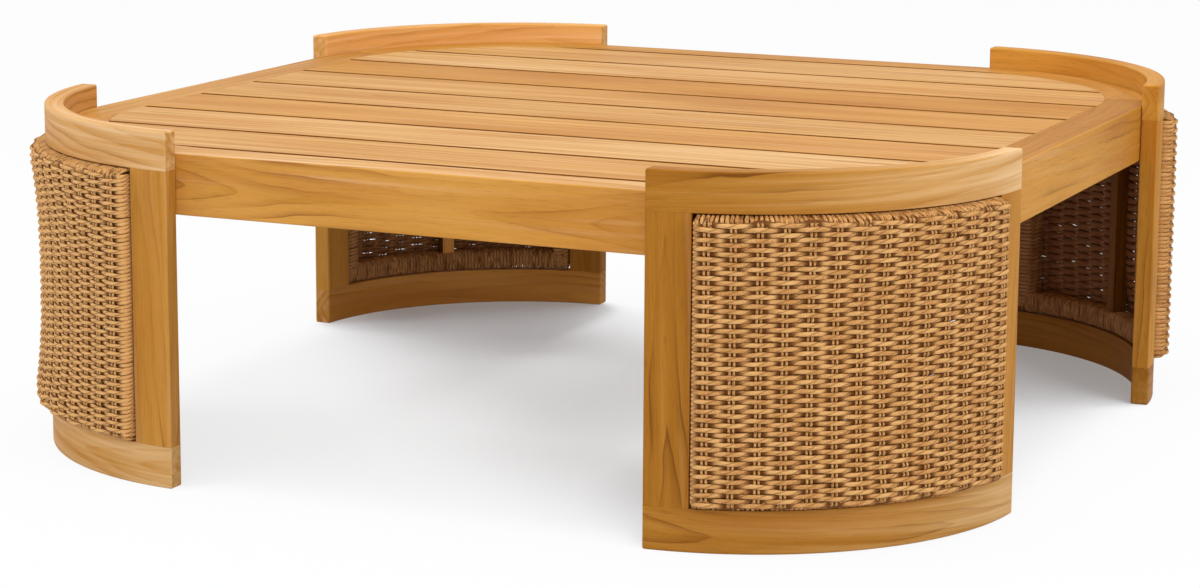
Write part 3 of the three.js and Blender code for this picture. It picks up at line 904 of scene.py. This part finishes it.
def rope_finish(name):
    """Straw coloured cord with slanting grooves, fine fibres, a tone of its own for each stretch, and painted
    shade in its hollows and on its back.
    """
    material, net = finish_net(name)
    length, cosine, sine = own_vector(net, "lay")
    strand, rise, panel_light = (own_number(net, label) for label in ("strand", "rise", "panel_light"))
    inside, open_back = own_number(net, "inside"), own_number(net, "open_back")
    twist = length * (2 * math.pi / LAY_PITCH)
    double_cosine = cosine * cosine - sine * sine
    double_sine = 2 * (sine * cosine)
    ply = double_cosine * net.maths("COSINE", twist) - double_sine * net.maths("SINE", twist)
    groove = net.step(ply, 0.45, 1.0)
    fibre = net.noise(length * 700 + cosine * 2, sine * 4 + strand * 31, cosine * 4, 2.0)
    stretch = net.noise(length * 38, strand * 57, 0.0, 1.0)
    pale = net.step(stretch, -0.16, 0.18) * (1 - panel_light) + panel_light
    colour = net.blend(pale, DEEP_STRAW, PALE_STRAW)
    colour = net.blend(net.step(fibre, -0.02, 0.22) * 0.62, colour, FIBRE_STRAW)
    # Painted shade in the lay's grooves.
    colour = net.blend(groove * 0.7, colour, GROOVE_SHADE_STRAW)
    # Painted shade on the panel's inner side and on the back of the front cords.
    back_shade = net.maths("MAXIMUM", inside, net.step(-(cosine * open_back), 0.0, 0.8))
    colour = net.blend(back_shade * (0.7 - panel_light * 0.3), colour, BACK_SHADE_STRAW)
    # Painted shade in the crevices between cords and in the pockets where they dive.
    crevice_shade = net.step(sine * sine + (1 - net.maths("MAXIMUM", rise, 0.0)) * 0.6, 0.78, 1.15) * 0.85
    crevice_shade = net.maths("MAXIMUM", crevice_shade, net.step(-rise, -0.1, 0.7) * 0.95)
    crevice_shade = crevice_shade * (1 - back_shade * open_back * 0.5)
    colour = net.blend(crevice_shade, colour, CREVICE_SHADE_STRAW)
    relief = 0.5 * fibre - groove
    bump = net.add("ShaderNodeBump", None, {0: 0.45, 1: 0.0005, 3: relief})
    roughness = 0.66 + 0.15 * fibre
    surface(net, {"Base Color": colour, "Roughness": roughness, "Specular IOR Level": 0.15, "Normal": bump})
    return material


rope = rope_finish("straw_rope")

# %% [markdown]
# ## Woven panels
# On the real panel, cords run level round the leg and pass in turn over and under pairs of thin upright
# cords. At both ends they roll over the frame's end bars and turn in behind them. The weave could be a
# bump pattern, but then its silhouette and the holes that light shines through would be missing. So every
# strand is real: one strand is drawn as a line in Python, and Geometry Nodes repeat it, row by row, with
# the wave of the weave, and sweep a small profile along it. One panel is woven looser, so that more light
# shows through it.

# %% Sizes of the weave, in metres
WEAVE_SAG = 0.0085
SAG_POWER = 2.5
BAR_INSET = 0.0214
COLUMNS = 14
COLUMN_PITCH = 0.0260
FIRST_COLUMN = (PANEL_SPAN - (COLUMNS - 1) * COLUMN_PITCH) / 2
ROWS = {"back_right": 59, "back_left": 60, "front_left": 67, "front_right": 60}
FIRST_ROW = 0.0068
CORD_MIDDLE = 0.3384
CORD_WAVE = 0.0031
CORD_FULLNESS = 0.735
PAIR_SPACING = 0.0043
UPRIGHT_HALF = 0.0014
BEHIND = LEG_INNER + WRAP
BEHIND_FADE = 0.008
row_pitch = {corner: (PANEL_RISE - 2 * FIRST_ROW) / (rows - 1) for corner, rows in ROWS.items()}
for corner, rows in ROWS.items():
    print(f"{corner} weave: {rows} cords {row_pitch[corner] * 1000:.2f} mm apart")

# Depth of a profile against its height, its number of sides, and how many times tighter the lay is.
CORD_PROFILE = (0.66, 8, 1.0)
THIN_PROFILE = (1.0, 6, 1.8)


# %% A Geometry Nodes tree with named inputs
def strand_tree(name, count, numbers):
    """New tree that takes a strand's line, a count, numbers and a finish. Returns its net and its inputs."""
    tree = bpy.data.node_groups.new(name, "GeometryNodeTree")
    tree.interface.new_socket("Panel strands", in_out="OUTPUT", socket_type="NodeSocketGeometry")
    kinds = {"Strand line": "NodeSocketGeometry", count: "NodeSocketInt"}
    kinds.update(dict.fromkeys(numbers, "NodeSocketFloat"))
    kinds["Finish"] = "NodeSocketMaterial"
    for label, kind in kinds.items():
        tree.interface.new_socket(label, in_out="INPUT", socket_type=kind)
    enter = tree.nodes.new("NodeGroupInput")
    net = Net(tree)
    return net, {socket.name: Signal(net, socket) for socket in enter.outputs if socket.name}


def carried(net, name):
    """Value that a strand's points carry."""
    return net.add("GeometryNodeInputNamedAttribute", {"data_type": "FLOAT"}, {"Name": name})


def kept(net, geometry, name, value, kind="FLOAT"):
    """Geometry with a value stored on its points under a name."""
    settings = {"data_type": kind, "domain": "POINT"}
    values = {"Geometry": geometry, "Name": name, "Value": value}
    return net.add("GeometryNodeStoreNamedAttribute", settings, values)


def repeated(net, given, amount, tone_step):
    """Copies of the strand's line as curves, each with a tone of its own. Returns their numbers too."""
    curve = net.add("GeometryNodeMeshToCurve", None, {0: given["Strand line"]})
    curves = net.add("GeometryNodeDuplicateElements", {"domain": "SPLINE"}, {0: curve, "Amount": amount})
    number = Signal(net, curves.socket.node.outputs[1])
    return kept(net, curves, "strand", number * tone_step + given["Seed"]), number


# %% The panel's curved surface, in node arithmetic
def bow(net, place, span):
    """1 in the middle of the span between the bars, falling to 0 at them."""
    share = (place - BAR_INSET) / (span - 2 * BAR_INSET)
    share = net.maths("MINIMUM", net.maths("MAXIMUM", share, 0.0), 1.0)
    return 1 - abs(2 * share - 1) ** SAG_POWER


def hollow(net, across, up, front):
    """How far the tight weave falls back between the bars."""
    return bow(net, across, PANEL_SPAN) * bow(net, up, PANEL_RISE) * WEAVE_SAG * front


def placed(net, curves, across, up, radius):
    """Strands moved to their place in the table, given round the arc, up the panel and by its radius."""
    angle = across / LEG_OUTER + PANEL_FROM
    x = radius * net.maths("COSINE", angle) + ARC_CENTRE
    y = radius * net.maths("SINE", angle) + ARC_CENTRE
    place = net.vector(x, y, up + PANEL_BOTTOM)
    return net.add("GeometryNodeSetPosition", None, {"Geometry": curves, "Position": place})


def swept(net, curve, thickness, profile, material):
    """Last nodes of a tree: a profile swept along the strands, their lay stored, and their finish."""
    flatness, sides, twist = profile
    curve = kept(net, curve, "along", net.add("GeometryNodeSplineParameter", None, None, 1) * twist)
    ring = net.add("GeometryNodeCurvePrimitiveCircle", None, {"Resolution": sides, "Radius": 1.0})
    turn = net.add("GeometryNodeSplineParameter", None, None, 0) * (2 * math.pi)
    ring = kept(net, kept(net, ring, "cosine", net.maths("COSINE", turn)), "sine", net.maths("SINE", turn))
    ring = net.add("GeometryNodeTransform", None, {"Geometry": ring, "Scale": (flatness, 1.0, 1.0)})
    values = {"Curve": curve, "Profile Curve": ring, "Scale": thickness, "Fill Caps": True}
    mesh = net.add("GeometryNodeCurveToMesh", None, values)
    lay = net.vector(carried(net, "along"), carried(net, "cosine"), carried(net, "sine"))
    mesh = kept(net, mesh, "lay", lay, "FLOAT_VECTOR")
    mesh = net.add("GeometryNodeSetShadeSmooth", None, {0: mesh, 2: True})
    mesh = net.add("GeometryNodeRealizeInstances", None, {0: mesh})
    mesh = net.add("GeometryNodeSetMaterial", None, {0: mesh, 2: material})
    net.add("NodeGroupOutput", None, {0: mesh})


# %% Tree of the level cords
WEAVE_NUMBERS = ("First column", "Column pitch", "First row", "Row pitch", "Wave", "Half thickness", "Seed")


def cord_tree():
    """Rows of level cords that pass over and under the uprights."""
    net, given = strand_tree("level_cords", "Rows", (*WEAVE_NUMBERS, "Fill", "Slope", "Drop"))
    seed = given["Seed"]
    curves, row = repeated(net, given, given["Rows"], 0.137)
    across, radius, front = (carried(net, name) for name in ("across", "radius", "front"))
    phase = ((across - given["First column"]) / given["Column pitch"] + row) * math.pi
    wave = net.maths("COSINE", phase) * front
    shake = net.noise(across * 55, row * 3.7, seed, 1.0)
    lift = net.noise(across * 75, row * 5.3, seed + 9, 1.0)
    sway = net.noise(across * 14, row * 0.35, seed + 23, 1.0)
    bundle = net.noise(row * 1.3, across * 6, seed + 31, 1.0) * (1 - front)
    up = row * given["Row pitch"] + given["First row"]
    depth = radius - hollow(net, across, up, front) + wave * (given["Wave"] + lift * 0.0018) + bundle * 0.001
    up = up + net.maths("SINE", phase) * front * given["Slope"] + wave * given["Drop"]
    up = up + shake * 0.0024 + sway * 0.004 * front + bundle * 0.0015
    inner = 1 - net.step(radius, BEHIND, BEHIND + BEHIND_FADE)
    # Rise sets the painted shade of the crevices and pockets, and inside the painted shade of the panel's
    # inner side.
    curves = kept(net, curves, "rise", wave + (1 - front) * 0.55 - inner * 0.2)
    curves = kept(net, kept(net, curves, "inside", inner * 0.7), "open_back", front)
    curves = placed(net, curves, across, up, depth)
    curves = net.add("GeometryNodeSetCurveNormal", {"mode": "Z_UP"}, {0: curves})
    over, below = net.maths("MAXIMUM", wave, 0.0), net.maths("MAXIMUM", -wave, 0.0)
    fullness = 0.88 - over * 0.18 + below * given["Fill"] - (1 - front) * 0.08 + shake * 0.15
    swept(net, curves, given["Half thickness"] * fullness, CORD_PROFILE, given["Finish"])
    return net.tree


# %% Tree of the upright pairs
def upright_tree():
    """Pairs of thin upright cords, which the level cords pass over and under."""
    net, given = strand_tree("upright_pairs", "Columns", (*WEAVE_NUMBERS, "Pair spacing"))
    curves, number = repeated(net, given, given["Columns"] * 2, 0.211)
    up, radius, front = (carried(net, name) for name in ("up", "radius", "front"))
    column = net.maths("FLOOR", number / 2)
    side = number - column * 2 - 0.5
    shake = net.noise(up * 40, number * 4.1, given["Seed"] + 3, 1.0)
    across = column * given["Column pitch"] + given["First column"] + side * given["Pair spacing"]
    across = across + shake * 0.0012
    phase = ((up - given["First row"]) / given["Row pitch"] + column) * math.pi
    wave = net.maths("COSINE", phase)
    depth = radius - hollow(net, across, up, front) - wave * given["Wave"] * front
    # Rise sets the painted shade where an upright passes behind the cords.
    curves = kept(net, curves, "rise", 0.45 - wave * 0.6)
    curves = placed(net, curves, across, up, depth)
    swept(net, curves, given["Half thickness"] * (1 + shake * 0.3), THIN_PROFILE, given["Finish"])
    return net.tree


# %% Tree of the wraps round the lower and upper bars
BAR_MIDDLE = 0.322


def wrap_tree():
    """Turns of cord round a level bar of the frame, side by side and leaning a little."""
    numbers = ("First turn", "Turn pitch", "Lean", "Half thickness", "Seed")
    net, given = strand_tree("bar_wraps", "Turns", numbers)
    curves, number = repeated(net, given, given["Turns"], 0.173)
    up, radius = carried(net, "up"), carried(net, "radius")
    lean = net.noise(number * 1.9, given["Seed"], 0.0, 1.0)
    shake = net.noise(number * 2.3, up * 90, radius * 90, 1.0)
    slant = (radius - BAR_MIDDLE) * lean * given["Lean"]
    across = number * given["Turn pitch"] + given["First turn"] + slant + shake * 0.0024
    inner = 1 - net.step(radius, BEHIND, BEHIND + BEHIND_FADE)
    # Rise and inside set the wraps' painted shade.
    curves = kept(net, kept(net, curves, "rise", 0.78 + shake * 2.6), "inside", inner * 0.6)
    curves = placed(net, curves, across, up + lean * 0.0012, radius + shake * 0.002)
    swept(net, curves, given["Half thickness"] * (1 + lean * 0.3), THIN_PROFILE, given["Finish"])
    return net.tree


level_cords, upright_pairs, bar_wraps = cord_tree(), upright_tree(), wrap_tree()

# %% [markdown]
# ## One strand as a line
# A strand's line is a list of points, each with its place across or up the panel, its radius, and how far
# it lies on the panel's front, where the weave waves. The way over an end bar is the same for all: up its
# inner side, behind it, round the side by the stile, and over the rounded outer edge.


# %% Lines of the strands
# Distance from the panel's edge and radius, from a bar's inner side round its back to the side by the stile.
ROUND_BAR = [
    (0.0229, 0.331), (0.0231, 0.322), (0.0231, 0.3125), (0.0222, 0.3078), (0.0195, BEHIND), (0.012, BEHIND),
    (0.0055, BEHIND), (0.0029, 0.3073), (0.0019, 0.3096), (0.0018, 0.318), (0.0018, 0.328),
]

# Degrees round a bar's outer edge, and how far the strand is on the front there.
ROLL = ((8, 0.0), (28, 0.3), (50, 0.6), (72, 0.85), (90, 1.0))
ROLL_END = 0.009
ROLL_REACH = 0.0072


def over_bar(front_radius):
    """Distance from the panel's edge, radius and share on the front, from the weave's back round a bar."""
    way = [(place, radius, 0.0) for place, radius in ROUND_BAR]
    rise = front_radius - FRAME_OUTER
    for degrees, front in ROLL:
        turn = math.radians(degrees)
        way.append((ROLL_END - ROLL_REACH * math.cos(turn), FRAME_OUTER + rise * math.sin(turn), front))
    return way


def line_points(span, first, step, front_radius):
    """Whole line of a strand: over one bar, along the front and over the other bar."""
    start = over_bar(front_radius)
    count = round((span - 2 * first) / step)
    front = [(first + (span - 2 * first) * i / count, front_radius, 1.0) for i in range(count + 1)]
    end = [(span - place, radius, share) for place, radius, share in reversed(start)]
    return start + front + end


def strand_line(name, points, place_name, closed=False):
    """Mesh line that carries each point's place, radius and share on the front."""
    mesh = bpy.data.meshes.new(name)
    links = [(i, i + 1) for i in range(len(points) - 1)]
    if closed:
        links.append((len(points) - 1, 0))
    mesh.from_pydata([(place, radius, 0) for place, radius, _ in points], links, [])
    for label, column in ((place_name, 0), ("radius", 1), ("front", 2)):
        values = mesh.attributes.new(label, "FLOAT", "POINT")
        values.data.foreach_set("value", [point[column] for point in points])
    return in_scene(name, mesh)


def grown(line, tree, sizes, name):
    """Runs a tree on a strand's line and keeps the result as a plain mesh object."""
    modifier = line.modifiers.new("strands", "NODES")
    modifier.node_group = tree
    for item in tree.interface.items_tree:
        if item.in_out == "INPUT" and item.name in sizes:
            modifier[item.identifier] = sizes[item.name]
    return in_scene(name, made_plain(line))


# %% Weave of the four panels
FILL = {"back_right": 0.5, "back_left": 0.12, "front_left": 0.45, "front_right": 0.55}
# How much lighter each panel's rope is: painted light on the back left panel, and painted shade below zero on
# the back right one.
PANEL_LIGHT = {"back_right": -0.2, "back_left": 0.9, "front_left": 0.7, "front_right": 0.05}
STEP_ACROSS = COLUMN_PITCH / 8
CORD_SLOPE = -0.0002
CORD_DROP = 0.0002
UPRIGHT_MIDDLE = CORD_MIDDLE + 0.0006
UPRIGHT_WAVE = 0.0012
WRAP_TURNS = 74
WRAP_FIRST = 0.0045
WRAP_PITCH = (PANEL_SPAN - 2 * WRAP_FIRST) / (WRAP_TURNS - 1)
WRAP_LEAN = 0.3
WRAP_HALF = 0.0022

# Distance from the panel's edge and radius, once round a level bar.
WRAP_LOOP = [
    (0.0231, 0.318), (0.0229, 0.3095), (0.0205, BEHIND), (0.012, BEHIND), (0.005, BEHIND), (0.0008, 0.3078),
    (0.0002, 0.3105), (0.0006, 0.32), (0.0015, 0.3285), (0.0026, 0.3333), (0.0055, 0.3368), (0.009, 0.3371),
    (0.0125, 0.3348), (0.0165, 0.333), (0.0208, 0.3315), (0.0229, 0.327),
]


def add_weave(corner, seed):
    """Level cords and upright pairs of one panel."""
    pitch = row_pitch[corner]
    shared = {"First column": FIRST_COLUMN, "Column pitch": COLUMN_PITCH, "First row": FIRST_ROW,
              "Row pitch": pitch, "Seed": seed, "Finish": rope}
    level = {"Rows": ROWS[corner], "Wave": CORD_WAVE, "Half thickness": CORD_FULLNESS * pitch,
             "Fill": FILL[corner], "Slope": CORD_SLOPE, "Drop": CORD_DROP}
    upright = {"Columns": COLUMNS, "Wave": UPRIGHT_WAVE, "Half thickness": UPRIGHT_HALF,
               "Pair spacing": PAIR_SPACING}
    way = line_points(PANEL_SPAN, FIRST_COLUMN - STEP_ACROSS, STEP_ACROSS, CORD_MIDDLE)
    cord = strand_line("cord", way, "across")
    cords = grown(cord, level_cords, {**shared, **level}, f"{corner}_level_cords")
    way = line_points(PANEL_RISE, FIRST_ROW, pitch / 2, UPRIGHT_MIDDLE)
    pair = strand_line("upright", way, "up")
    pairs = grown(pair, upright_pairs, {**shared, **upright}, f"{corner}_upright_pairs")
    return [cords, pairs]


def add_wraps(name, flip, seed):
    """Turns round the lower bar of one panel, or round the upper bar when flipped."""
    loop = [(PANEL_RISE - up if flip else up, radius, 0.0) for up, radius in WRAP_LOOP]
    sizes = {"Turns": WRAP_TURNS, "First turn": WRAP_FIRST, "Turn pitch": WRAP_PITCH, "Lean": WRAP_LEAN,
             "Half thickness": WRAP_HALF, "Seed": seed, "Finish": rope}
    return grown(strand_line("wrap", loop, "up", closed=True), bar_wraps, sizes, name)


for turns, corner in enumerate(CORNERS):
    pieces = add_weave(corner, float(turns))
    pieces.append(add_wraps(f"{corner}_lower_bar_wraps", False, float(turns)))
    pieces.append(add_wraps(f"{corner}_upper_bar_wraps", True, turns + 0.5))
    for piece in pieces:
        panel_light = piece.data.attributes.new("panel_light", "FLOAT", "POINT")
        panel_light.data.foreach_set("value", [PANEL_LIGHT[corner]] * len(piece.data.vertices))
        piece.data.transform(Matrix.Rotation(turns * QUARTER, 4, "Z"))
        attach(piece, "root")
        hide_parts(f"{corner}_woven_panel")
        print(f"{piece.name}: {sum(len(face.vertices) - 2 for face in piece.data.polygons)} triangles")

# %% [markdown]
# ## Hidden timber and bolts
# Bearers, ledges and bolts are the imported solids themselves, because their shapes are already right. They
# only get a finish. A solid's mesh can't be given attributes, so these finishes read Object coordinates.

# %% Colours of plain timber and steel
DARK_SAWN = (0.300, 0.140, 0.045, 1.0)
PALE_SAWN = (0.420, 0.215, 0.080, 1.0)
DULL_STEEL = (0.420, 0.420, 0.430, 1.0)
CLEAN_STEEL = (0.620, 0.620, 0.630, 1.0)


# %% Plain timber and bolt steel
def plain_timber(name):
    """Plain sawn timber whose grain runs along the table's depth."""
    material, net = finish_net(name)
    x, y, z = net.split(net.add("ShaderNodeTexCoord", None, None, "Object"))
    fibre = net.noise(x * 300, y * 8, z * 300, 3.0, 0.6)
    ring = net.noise(x * 60, y * 2, z * 60, 2.0)
    colour = net.blend(net.step(fibre + ring, -0.3, 0.3), DARK_SAWN, PALE_SAWN)
    bump = net.add("ShaderNodeBump", None, {0: 0.4, 1: 0.0005, 3: fibre})
    surface(net, {"Base Color": colour, "Roughness": 0.6 + 0.2 * fibre, "Normal": bump})
    return material


def bolt_steel(name):
    """Zinc-coloured steel with fine turning marks and a few duller patches."""
    material, net = finish_net(name)
    x, y, z = net.split(net.add("ShaderNodeTexCoord", None, None, "Object"))
    mark = net.noise(x * 900, y * 900, z * 4000, 2.0)
    patch = net.noise(x * 120, y * 120, z * 120, 2.0)
    colour = net.blend(net.step(patch, -0.1, 0.2), DULL_STEEL, CLEAN_STEEL)
    bump = net.add("ShaderNodeBump", None, {0: 0.2, 1: 0.0002, 3: mark})
    surface(net, {"Base Color": colour, "Metallic": 1.0, "Roughness": 0.36 + 0.2 * patch, "Normal": bump})
    return material


sawn, steel = plain_timber("sawn_timber"), bolt_steel("bolt_steel")
for name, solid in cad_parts.items():
    if not solid.hide_render:
        solid.data.materials.clear()
        solid.data.materials.append(steel if "_bolt_" in name else sawn)
print("solids that stay:", sorted(name for name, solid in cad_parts.items() if not solid.hide_render))

# %% [markdown]
# ## Last update
# The view layer is updated once more at the end. The dressed table has to stay inside the
# solids' box.

# %% Last update of the scene
bpy.context.view_layer.update()
